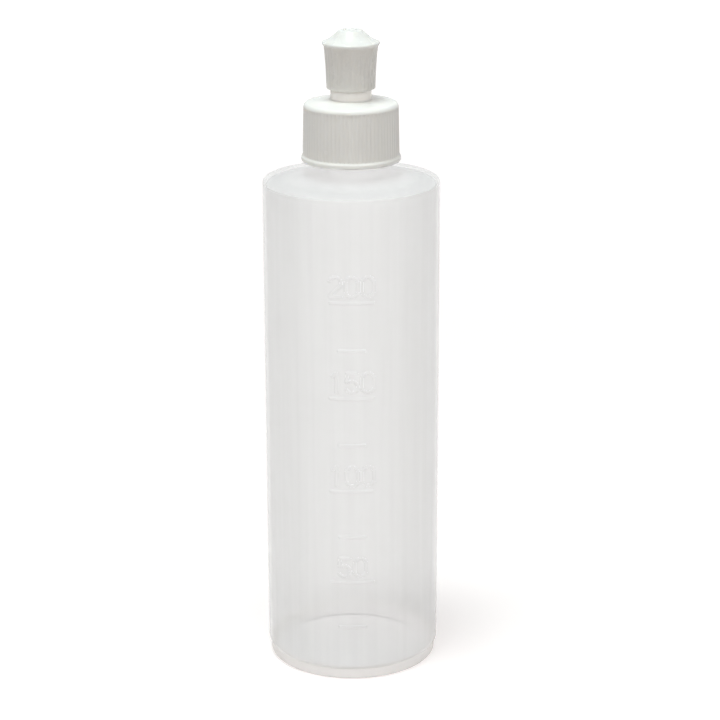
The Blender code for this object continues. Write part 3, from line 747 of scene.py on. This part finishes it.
def make_cap_pin(material):
    """The sealing pin: a crowned tip that fills the orifice, a shank and a cone that widens to the spider.

    The crown is a circle's arc over a chord: its radius is (half chord^2 + rise^2) / (2 rise).
    """
    foot = STEM_TOP - SPOKE_DROP - SPOKE_HEIGHT
    cone_foot = foot + SPOKE_HEIGHT
    tip_radius = ORIFICE_RADIUS - PIN_TIP_GAP
    crown = (tip_radius ** 2 + PIN_TIP_CROWN ** 2) / (2 * PIN_TIP_CROWN)
    lean = math.degrees(math.asin(tip_radius / crown))
    tip_top = NOSE_TOP + PIN_TIP_CROWN / 2
    tip = arc(0, tip_top - crown, crown, 90, 90 - lean)
    lower = rounded([
        (*tip[-1], 0),
        (tip_radius, tip_top - PIN_TIP_CROWN - STEM_EDGE_RADIUS, 0),
        (tip_radius, tip_top - PIN_TIP_LENGTH, 0),
        (PIN_SHANK_RADIUS, tip_top - PIN_TIP_LENGTH - PIN_TIP_GAP - PIN_SHANK_RADIUS / 2, 0),
        (PIN_SHANK_RADIUS, cone_foot + PIN_CONE_HEIGHT, PIN_SHANK_RADIUS),
        (PIN_FOOT_RADIUS, cone_foot, 0),
        (PIN_FOOT_RADIUS, foot, STEM_EDGE_RADIUS),
        (0, foot, 0),
    ])
    section = distinct(np.concatenate([tip, lower]))
    angle = even_angles(PIN_COLUMNS)
    radius, height = over_angles(section, angle)
    return turned("cap_pin", radius, height, angle, material, closed=False)


def make_cap_spider(material):
    """Three bars between the pin and the stem, whose section is a superellipse |y/a|^n + |z/b|^n = 1.

    The power n is 2 / SPOKE_SQUARENESS_SHARE.
    """
    inner, outer = PIN_FOOT_RADIUS - SPOKE_SINK, STEM_BORE_RADIUS + SPOKE_SINK
    middle = STEM_TOP - SPOKE_DROP - SPOKE_HEIGHT / 2
    t = even_angles(PIN_COLUMNS)
    wide = np.sign(np.cos(t)) * np.abs(np.cos(t)) ** SPOKE_SQUARENESS_SHARE
    high = np.sign(np.sin(t)) * np.abs(np.sin(t)) ** SPOKE_SQUARENESS_SHARE
    x = np.linspace(inner, outer, ARC_POINTS)[:, None] + 0 * t
    y, z = SPOKE_WIDTH / 2 * wide + 0 * x, middle + SPOKE_HEIGHT / 2 * high + 0 * x
    near = np.arange(x.size).reshape(x.shape)
    side = np.stack([near[:-1], np.roll(near[:-1], -1, 1), np.roll(near[1:], -1, 1), near[1:]], 2)
    ends = np.stack([near[0][::-1], near[-1]])
    turn = math.tau * (np.arange(SPOKE_COUNT) + 1 / 2)[:, None, None] / SPOKE_COUNT
    points = np.stack([
        x * np.cos(turn) - y * np.sin(turn),
        x * np.sin(turn) + y * np.cos(turn),
        z + 0 * turn * x,
    ], 3)
    first = x.size * np.arange(SPOKE_COUNT)[:, None, None]
    faces = [(first + side.reshape(-1, 4)).reshape(-1, 4), (first + ends).reshape(-1, PIN_COLUMNS)]
    return mesh_object("cap_spider", points.reshape(-1, 3), faces, material)


# Pull spout

def spout_section():
    """From the orifice over the nose and rim, down the barrel and up the bore."""
    nose_r, nose_z = NOSE_RADIUS - NOSE_EDGE_RADIUS, NOSE_TOP - NOSE_EDGE_RADIUS
    nose_edge = arc(nose_r, nose_z, NOSE_EDGE_RADIUS, 90, 90 - NOSE_SIDE_ANGLE)
    rim_r, lip_z = RIM_RADIUS - RIM_EDGE_RADIUS, NOSE_TOP - COLLAR_EDGE_RADIUS
    rim_edge = arc(rim_r, RIM_MIDDLE, RIM_EDGE_RADIUS, 90 - NOSE_FOOT_ANGLE, -RIM_UNDERSIDE_ANGLE)
    nose_side = sweep(rim_edge[0], NOSE_FOOT_ANGLE, nose_edge[-1], NOSE_SIDE_ANGLE)[::-1]
    lower = rounded([
        (*rim_edge[-1], 0),
        (BARREL_TOP_RADIUS, BARREL_TOP, SPOUT_FOOT_EDGE_RADIUS),
        (SPOUT_FOOT_RADIUS, SPOUT_FOOT, SPOUT_FOOT_EDGE_RADIUS),
        (COUNTERBORE_RADIUS, SPOUT_FOOT, COLLAR_EDGE_RADIUS),
        (COUNTERBORE_RADIUS, SPOUT_STOP, 0),
        (SPOUT_BEAD_RADIUS, SPOUT_STOP, COLLAR_EDGE_RADIUS),
        (SPOUT_BEAD_RADIUS, SPOUT_BEAD_TOP, COLLAR_EDGE_RADIUS),
        (SPOUT_BORE_RADIUS, SPOUT_BEAD_TOP + SPOUT_BEAD_SLOPE, 0),
        (SPOUT_BORE_RADIUS, BARREL_TOP, NOSE_EDGE_RADIUS),
        (NOSE_RADIUS - SPOUT_WALL, NOSE_TOP - ORIFICE_LENGTH - ORIFICE_LEAD, 0),
        (ORIFICE_RADIUS, NOSE_TOP - ORIFICE_LENGTH, 0),
        (ORIFICE_RADIUS, lip_z, 0),
    ])
    lip = arc(ORIFICE_RADIUS + COLLAR_EDGE_RADIUS, lip_z, COLLAR_EDGE_RADIUS, 180, 90)
    section = distinct(np.concatenate([nose_edge, nose_side, rim_edge, lower, lip]))
    return divided(section, SKIRT_ROW)


def make_spout(material):
    """The spout's section turned about Z, with shallow flutes down its slightly waisted barrel.

    The waist is a parabola 4s(1 - s) of the way s from the barrel's foot to its top.
    """
    section = spout_section()
    angle = even_angles(FLUTE_COUNT * COLUMNS_A_FLUTE)
    radius, height = over_angles(section, angle)
    away = np.abs(np.mod(angle * FLUTE_COUNT / math.tau, 1.0) - 1 / 2)
    hollow = smooth(1 - away / FLUTE_WIDTH_SHARE)
    from_end = np.minimum(height - SPOUT_FOOT - FLUTE_FOOT_MARGIN, BARREL_TOP - FLUTE_TOP_MARGIN - height)
    on_barrel = radius > (SPOUT_BORE_RADIUS + SPOUT_FOOT_RADIUS) / 2
    up = np.clip((height - SPOUT_FOOT) / BARREL_HEIGHT, 0, 1)
    fluted = FLUTE_DEPTH * hollow * smooth(1 / 2 + from_end / FLUTE_END_LENGTH)
    radius = radius - np.where(on_barrel, fluted + BARREL_WAIST * 4 * up * (1 - up), 0)
    return turned("spout_shell", radius, height, angle, material, closed=True)


# Materials

def new_group(name, inputs, outputs):
    """An empty shader node group with these inputs and outputs, each a name with its kind of socket."""
    group = bpy.data.node_groups.new(name, "ShaderNodeTree")
    for sockets, side in ((inputs, "INPUT"), (outputs, "OUTPUT")):
        for label, kind in sockets.items():
            group.interface.new_socket(label, in_out=side, socket_type="NodeSocket" + kind)
    return group


def add_node(tree, kind, values=None, **settings):
    """A node with these settings; a value that is a socket is linked, and any other is set on its input."""
    node = tree.nodes.new(kind)
    for label, value in settings.items():
        setattr(node, label, value)
    for label, value in (values or {}).items():
        if isinstance(value, bpy.types.NodeSocket):
            tree.links.new(value, node.inputs[label])
        else:
            node.inputs[label].default_value = value
    return node


def place_group(tree, group, values):
    """The outputs of this group, placed in a material with these values."""
    return add_node(tree, "ShaderNodeGroup", values, node_tree=group).outputs


def math_node(tree, operation, *values):
    """One Math node, whose inputs are set or linked in turn."""
    return add_node(tree, "ShaderNodeMath", dict(enumerate(values)), operation=operation).outputs[0]


def vector_node(tree, operation, *values, output="Vector"):
    """One Vector Math node, whose inputs are set or linked in turn."""
    node = add_node(tree, "ShaderNodeVectorMath", dict(enumerate(values)), operation=operation)
    return node.outputs[output]


def height_of(tree, position):
    """The third number of a position or direction."""
    return add_node(tree, "ShaderNodeSeparateXYZ", {"Vector": position}).outputs["Z"]


def stretched(tree, position, scale):
    """The position, multiplied by a scale for each axis; under 1 it draws a pattern out."""
    return add_node(tree, "ShaderNodeMapping", {"Vector": position, "Scale": scale}).outputs["Vector"]


def noise(tree, position, size, detail=2.0):
    """Noise from 0 to 1 whose lumps are about this many metres across."""
    values = {"Vector": position, "Scale": 1 / size, "Detail": detail}
    return add_node(tree, "ShaderNodeTexNoise", values).outputs["Fac"]


def ramped(tree, value, low, high, start=0.0, end=1.0):
    """The value mapped smoothly from low..high to start..end, and held outside."""
    values = {"Value": value, "From Min": low, "From Max": high, "To Min": start, "To Max": end}
    node = add_node(tree, "ShaderNodeMapRange", values, interpolation_type="SMOOTHSTEP")
    return node.outputs["Result"]


def blended(tree, share, first, second):
    """First and second colours blended by a share from 0 to 1."""
    values = {"Factor": share, MIX_FIRST: first, MIX_SECOND: second}
    return add_node(tree, "ShaderNodeMix", values, data_type="RGBA").outputs[MIX_RESULT]


def banded(tree, height, colour, low, low_blend, high, high_blend, tint):
    """The colour, tinted between two heights, with a blend upwards from low and down from high."""
    rise = ramped(tree, height, low, low + low_blend)
    fall = ramped(tree, height, high - high_blend, high, 1.0, 0.0)
    inside = math_node(tree, "MULTIPLY", rise, fall)
    return blended(tree, inside, colour, vector_node(tree, "MULTIPLY", colour, tint))


def moulded_plastic_group():
    """Colour, roughness and height of a moulded plastic skin: fine grain, soft mottling and flow lines."""
    group = new_group("moulded_plastic", {
        "Position": "Vector",
        "Light Colour": "Color",
        "Deep Colour": "Color",
        "Mottle Scale": "Float",
        "Roughness": "Float",
        "Roughness Spread": "Float",
        "Grain": "Float",
        "Waviness": "Float",
    }, {"Colour": "Color", "Roughness": "Float", "Height": "Float"})
    given = group.nodes.new("NodeGroupInput").outputs
    position = given["Position"]
    mottle = add_node(group, "ShaderNodeTexNoise", {
        "Vector": position,
        "Scale": given["Mottle Scale"],
        "Detail": MOTTLE_DETAIL,
        "Roughness": MOTTLE_ROUGHNESS,
    }).outputs["Fac"]
    grain = noise(group, position, GRAIN_SIZE, detail=1.0)
    wave = noise(group, position, WAVE_SIZE, detail=1.0)
    flow = noise(group, stretched(group, position, FLOW_STRETCH), WAVE_SIZE / 2)
    halves = [math_node(group, "MULTIPLY", part, 0.5) for part in (mottle, flow)]
    shade = ramped(group, math_node(group, "ADD", *halves), *SHADE_SPAN)
    colour = blended(group, shade, given["Light Colour"], given["Deep Colour"])
    offset = math_node(group, "SUBTRACT", mottle, 0.5)
    spread = math_node(group, "MULTIPLY", offset, given["Roughness Spread"])
    roughness = math_node(group, "MULTIPLY_ADD", spread, 2.0, given["Roughness"])
    fine = math_node(group, "MULTIPLY", grain, given["Grain"])
    height = math_node(group, "MULTIPLY_ADD", wave, given["Waviness"], fine)
    add_node(group, "NodeGroupOutput", {"Colour": colour, "Roughness": roughness, "Height": height})
    return group


def speck_group():
    """A mask of rare round specks: a few Voronoi cells hold one each, a disc about the cell's own point."""
    group = new_group("rare_specks", {
        "Position": "Vector",
        "Cell Scale": "Float",
        "Cell Share": "Float",
        "Radius Share": "Float",
    }, {"Mask": "Float"})
    given = group.nodes.new("NodeGroupInput").outputs
    values = {"Vector": given["Position"], "Scale": given["Cell Scale"]}
    cells = add_node(group, "ShaderNodeTexVoronoi", values).outputs
    chosen = add_node(group, "ShaderNodeSeparateColor", {"Color": cells["Color"]}).outputs["Red"]
    chosen = math_node(group, "LESS_THAN", chosen, given["Cell Share"])
    near = math_node(group, "LESS_THAN", cells["Distance"], given["Radius Share"])
    add_node(group, "NodeGroupOutput", {"Mask": math_node(group, "MULTIPLY", chosen, near)})
    return group


def new_material(name, values):
    """A material with these values set on its Principled shader, and its tree, shader and position."""
    material = bpy.data.materials.new(name)
    material.use_nodes = True
    tree = material.node_tree
    shader = tree.nodes["Principled BSDF"]
    for label, value in values.items():
        shader.inputs[label].default_value = value
    position = tree.nodes.new("ShaderNodeTexCoord").outputs["Object"]
    return material, tree, shader, position


def feed_shader(tree, shader, colour, roughness, height, distance):
    """Links a skin to the shader, its height through a Bump node; a height of 1 is that many metres."""
    bump = add_node(tree, "ShaderNodeBump", {"Height": height, "Strength": 1.0, "Distance": distance})
    tree.links.new(colour, shader.inputs["Base Color"])
    tree.links.new(roughness, shader.inputs["Roughness"])
    tree.links.new(bump.outputs["Normal"], shader.inputs["Normal"])


def natural_colour(tree, plain, height, warm, flank, specks):
    """The bottle's plain colour, warmer at the foot, with painted shade on the figures' flanks and on the
    shoulder.
    """
    colour = blended(tree, warm, plain, (*FOOT_COLOUR, 1))
    # painted shade on the flanks of the figures
    colour = blended(tree, flank, colour, vector_node(tree, "MULTIPLY", colour, FLANK_PAINTED_SHADE))
    # painted shade on the shoulder, from its rounded edge up to the neck
    low, high = SHOULDER_HEIGHT - SHOULDER_EDGE_RADIUS, SHOULDER_HEIGHT + SHOULDER_RISE
    colour = banded(tree, height, colour, low, BAND_BLEND, high, SHOULDER_RISE, SHOULDER_PAINTED_SHADE)
    return blended(tree, specks, colour, (*SPECK_COLOUR, 1))


def wall_density(tree, position, height):
    """What the wall stops of the light: streaks run up it and fade out below the shoulder."""
    streak = noise(tree, stretched(tree, position, STREAK_STRETCH), STREAK_SIZE)
    streak = ramped(tree, streak, *STREAK_SPAN)
    low, high = SHOULDER_HEIGHT - HEEL_RADIUS, SHOULDER_HEIGHT - SHOULDER_EDGE_RADIUS
    streak = math_node(tree, "MULTIPLY", streak, ramped(tree, height, low, high, 1.0, 0.0))
    return ramped(tree, streak, 0.0, 1.0, *WALL_DENSITY)


def thinning(tree, flat, from_axis, height):
    """What a density is multiplied by: less towards the neck, and least in a round patch of the floor."""
    # painted light: the neck lets more through, which clears the cap's shadow from it
    neck = ramped(tree, from_axis, NECK_RADIUS + NECK_FILLET_RADIUS, FOOT_RADIUS, 1.0, 0.0)
    above = ramped(tree, height, SHOULDER_HEIGHT - HEEL_RADIUS, SHOULDER_HEIGHT)
    neck = ramped(tree, math_node(tree, "MULTIPLY", neck, above), 0.0, 1.0, 1.0, NECK_DENSITY_SHARE)
    # painted light: a round patch of the floor lets more through, brightening it where light passes through
    # the base
    patch = vector_node(tree, "DISTANCE", flat, PATCH_PLACE, output="Value")
    patch = ramped(tree, patch, *PATCH_RADII, 1.0, 0.0)
    below = ramped(tree, height, HEEL_RADIUS, 2 * HEEL_RADIUS, 1.0, 0.0)
    patch = ramped(tree, math_node(tree, "MULTIPLY", patch, below), 0.0, 1.0, 1.0, PATCH_DENSITY_SHARE)
    return math_node(tree, "MULTIPLY", neck, patch)


def natural_plastic(skin, specks):
    """Milky low-density polyethylene, which passes and scatters light."""
    material, tree, shader, position = new_material("natural_polyethylene", NATURAL_SHADER)
    outer = place_group(tree, skin, {"Position": position, **NATURAL_SKIN})
    mask = place_group(tree, specks, {"Position": position, **SPECKS})["Mask"]
    height = height_of(tree, position)
    flat = vector_node(tree, "MULTIPLY", position, (1, 1, 0))
    from_axis = vector_node(tree, "LENGTH", flat, output="Value")
    flank = add_node(tree, "ShaderNodeAttribute", attribute_name="flank").outputs["Fac"]
    warm = ramped(tree, height, FOOT_HEIGHT, 2 * FOOT_HEIGHT, 1.0, 0.0)
    outward = ramped(tree, from_axis, FOOT_RADIUS - FOOT_HEIGHT, FOOT_RADIUS - FOOT_STEP)
    warm = math_node(tree, "MULTIPLY", warm, outward)
    density = wall_density(tree, position, height)
    for share, dense in ((warm, FOOT_DENSITY), (flank, FLANK_DENSITY), (mask, SPECK_DENSITY)):
        density = math_node(tree, "MAXIMUM", density, math_node(tree, "MULTIPLY", share, dense))
    density = math_node(tree, "MULTIPLY", density, thinning(tree, flat, from_axis, height))
    tree.links.new(density, shader.inputs["Alpha"])
    colour = natural_colour(tree, outer["Colour"], height, warm, flank, mask)
    feed_shader(tree, shader, colour, outer["Roughness"], outer["Height"], NATURAL_WAVE_HEIGHT)
    return material


def white_plastic(name, skin, finish, bands):
    """White moulded plastic whose skin scatters a little of the light.

    Each band is (low, low blend, high, high blend, tint), as the function banded takes it.
    """
    material, tree, shader, position = new_material(name, WHITE_SHADER)
    outer = place_group(tree, skin, {"Position": position, **finish})
    colour, height = outer["Colour"], height_of(tree, position)
    for band in bands:
        colour = banded(tree, height, colour, *band)
    feed_shader(tree, shader, colour, outer["Roughness"], outer["Height"], WHITE_WAVE_HEIGHT)
    return material


def liner_foam(skin):
    """Matt closed-cell foam: small round cells pit its skin."""
    material, tree, shader, position = new_material("liner_foam", FOAM_SHADER)
    outer = place_group(tree, skin, {"Position": position, **FOAM_SKIN})
    values = {"Vector": position, "Scale": 1 / FOAM_CELL}
    cells = add_node(tree, "ShaderNodeTexVoronoi", values).outputs["Distance"]
    cells = math_node(tree, "MULTIPLY", cells, FOAM_CELL_HEIGHT)
    height = math_node(tree, "ADD", cells, outer["Height"])
    feed_shader(tree, shader, outer["Colour"], outer["Roughness"], height, FOAM_CELL / 4)
    return material


# Stage: floor, world, lamps and camera

def seen_directly(tree):
    """1 for camera, glossy and transmission rays and 0 for those that carry light between surfaces."""
    rays = tree.nodes.new("ShaderNodeLightPath").outputs
    seen = math_node(tree, "MAXIMUM", rays["Is Camera Ray"], rays["Is Glossy Ray"])
    return math_node(tree, "MAXIMUM", seen, rays["Is Transmission Ray"])


def make_floor():
    """A wide pale floor that shows the object's shadow, and white where it is seen away from it.

    The key's light on it falls with distance r as (h^2 / (h^2 + r^2))^2, h being the key's height. A glow
    that only what sees the floor directly gets makes up for that.
    """
    material, tree, shader, position = new_material("pale_floor", FLOOR_SHADER)
    tint = noise(tree, position, FLOOR_MOTTLE)
    tree.links.new(blended(tree, tint, (*FLOOR_LIGHT, 1), (*FLOOR_DEEP, 1)), shader.inputs["Base Color"])
    away = vector_node(tree, "LENGTH", position, output="Value")
    square = KEY_PLACE[2] ** 2
    fall = math_node(tree, "DIVIDE", square, math_node(tree, "MULTIPLY_ADD", away, away, square))
    lit = math_node(tree, "MULTIPLY", math_node(tree, "MULTIPLY", fall, fall), FLOOR_LIT)
    glow = math_node(tree, "MULTIPLY", seen_directly(tree), math_node(tree, "SUBTRACT", FLOOR_WHITE, lit))
    shader.inputs["Emission Color"].default_value = (*FLOOR_GLOW, 1)
    tree.links.new(glow, shader.inputs["Emission Strength"])
    across = FLOOR_SIZE / 2 * np.array([-1, 1])
    x, y = np.meshgrid(across, across)
    points = np.stack([x.ravel(), y.ravel(), np.full(4, -FLOOR_DROP)], 1)
    mesh_object("floor", points, [np.array([[0, 1, 3, 2]])], material)


def make_world():
    """A studio sweep: white where it is seen, and as a light brightest round the horizon."""
    world = bpy.data.worlds.new("studio")
    bpy.context.scene.world = world
    world.use_nodes = True
    tree = world.node_tree
    direction = tree.nodes.new("ShaderNodeTexCoord").outputs["Generated"]
    height = math_node(tree, "ABSOLUTE", height_of(tree, direction))
    light = ramped(tree, height, *HORIZON_BAND, HORIZON_LIGHT, ZENITH_LIGHT)
    values = {0: WORLD_COLOUR, "Scale": light}
    light = add_node(tree, "ShaderNodeVectorMath", values, operation="SCALE").outputs["Vector"]
    colour = blended(tree, seen_directly(tree), light, (1, 1, 1, 1))
    tree.links.new(colour, tree.nodes["Background"].inputs["Color"])


def make_softbox(name, place, size, power, colour):
    """A square area lamp that faces the bottle's middle."""
    lamp = bpy.data.lights.new(name, "AREA")
    lamp.shape = "SQUARE"
    lamp.size = size
    lamp.energy = power
    lamp.color = colour
    obj = add_object(name, lamp)
    middle = Vector((0, 0, NOSE_TOP / 2))
    obj.location = place
    obj.rotation_euler = (middle - Vector(place)).to_track_quat("-Z", "Y").to_euler()


def make_camera():
    """The photograph's viewing angle and framing."""
    camera = bpy.data.cameras.new("camera")
    camera.lens = CAMERA_LENS
    camera.sensor_width = CAMERA_SENSOR
    camera.clip_start = CAMERA_CLIP_START
    obj = add_object("camera", camera)
    turn = Matrix.Rotation(math.radians(-CAMERA_YAW), 4, "Z")
    turn = turn @ Matrix.Rotation(math.radians(90 - CAMERA_PITCH), 4, "X")
    placed = Matrix.Translation(CAMERA_PLACE) @ turn
    obj.matrix_world = placed @ Matrix.Rotation(math.radians(CAMERA_ROLL), 4, "Z")
    bpy.context.scene.camera = obj


# Everything put together

make_camera()
make_floor()
make_world()
make_softbox("key_softbox", KEY_PLACE, KEY_SIZE, KEY_POWER, KEY_COLOUR)
make_softbox("left_softbox", LEFT_PLACE, LEFT_SIZE, LEFT_POWER, SIDE_COLOUR)
make_softbox("right_softbox", RIGHT_PLACE, RIGHT_SIZE, RIGHT_POWER, SIDE_COLOUR)
make_softbox("front_softbox", FRONT_PLACE, FRONT_SIZE, FRONT_POWER, SIDE_COLOUR)
bpy.context.scene.view_settings.view_transform = "Standard"

skin_group, specks_group = moulded_plastic_group(), speck_group()
natural = natural_plastic(skin_group, specks_group)
foam = liner_foam(skin_group)
# painted shade on the ribbed skirt and the bead's top
ribbed = (SKIRT_FOOT, 2 * BEAD_HEIGHT, DECK_RIM_HEIGHT, 2 * DECK_EDGE_RADIUS, SKIRT_PAINTED_SHADE)
# painted light on the collar, under the spout's overhang
collar = (COLLAR_FOOT, BAND_BLEND, COLLAR_TOP, BAND_BLEND, COLLAR_PAINTED_LIGHT)
# painted shade on the spout's barrel
barrel = (SPOUT_FOOT - BAND_BLEND, BAND_BLEND, BARREL_TOP + BAND_BLEND, BAND_BLEND, BARREL_PAINTED_SHADE)
cap_white = white_plastic("cap_polypropylene", skin_group, CAP_SKIN, [ribbed, collar])
spout_white = white_plastic("spout_polyethylene", skin_group, SPOUT_SKIN, [barrel])

for piece, body, node, slot in (
    (make_bottle(natural), "bottle", "bottle", "natural_plastic"),
    (make_liner(foam), "liner", "sealing_liner", "liner_foam"),
    (make_cap_shell(cap_white), "cap", "screw_cap", "cap_plastic"),
    (make_cap_pin(cap_white), "cap", "screw_cap", "cap_plastic"),
    (make_cap_spider(cap_white), "cap", "screw_cap", "cap_plastic"),
    (make_spout(spout_white), "spout", "pull_spout", "spout_plastic"),
):
    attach(piece, body)
    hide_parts(node)
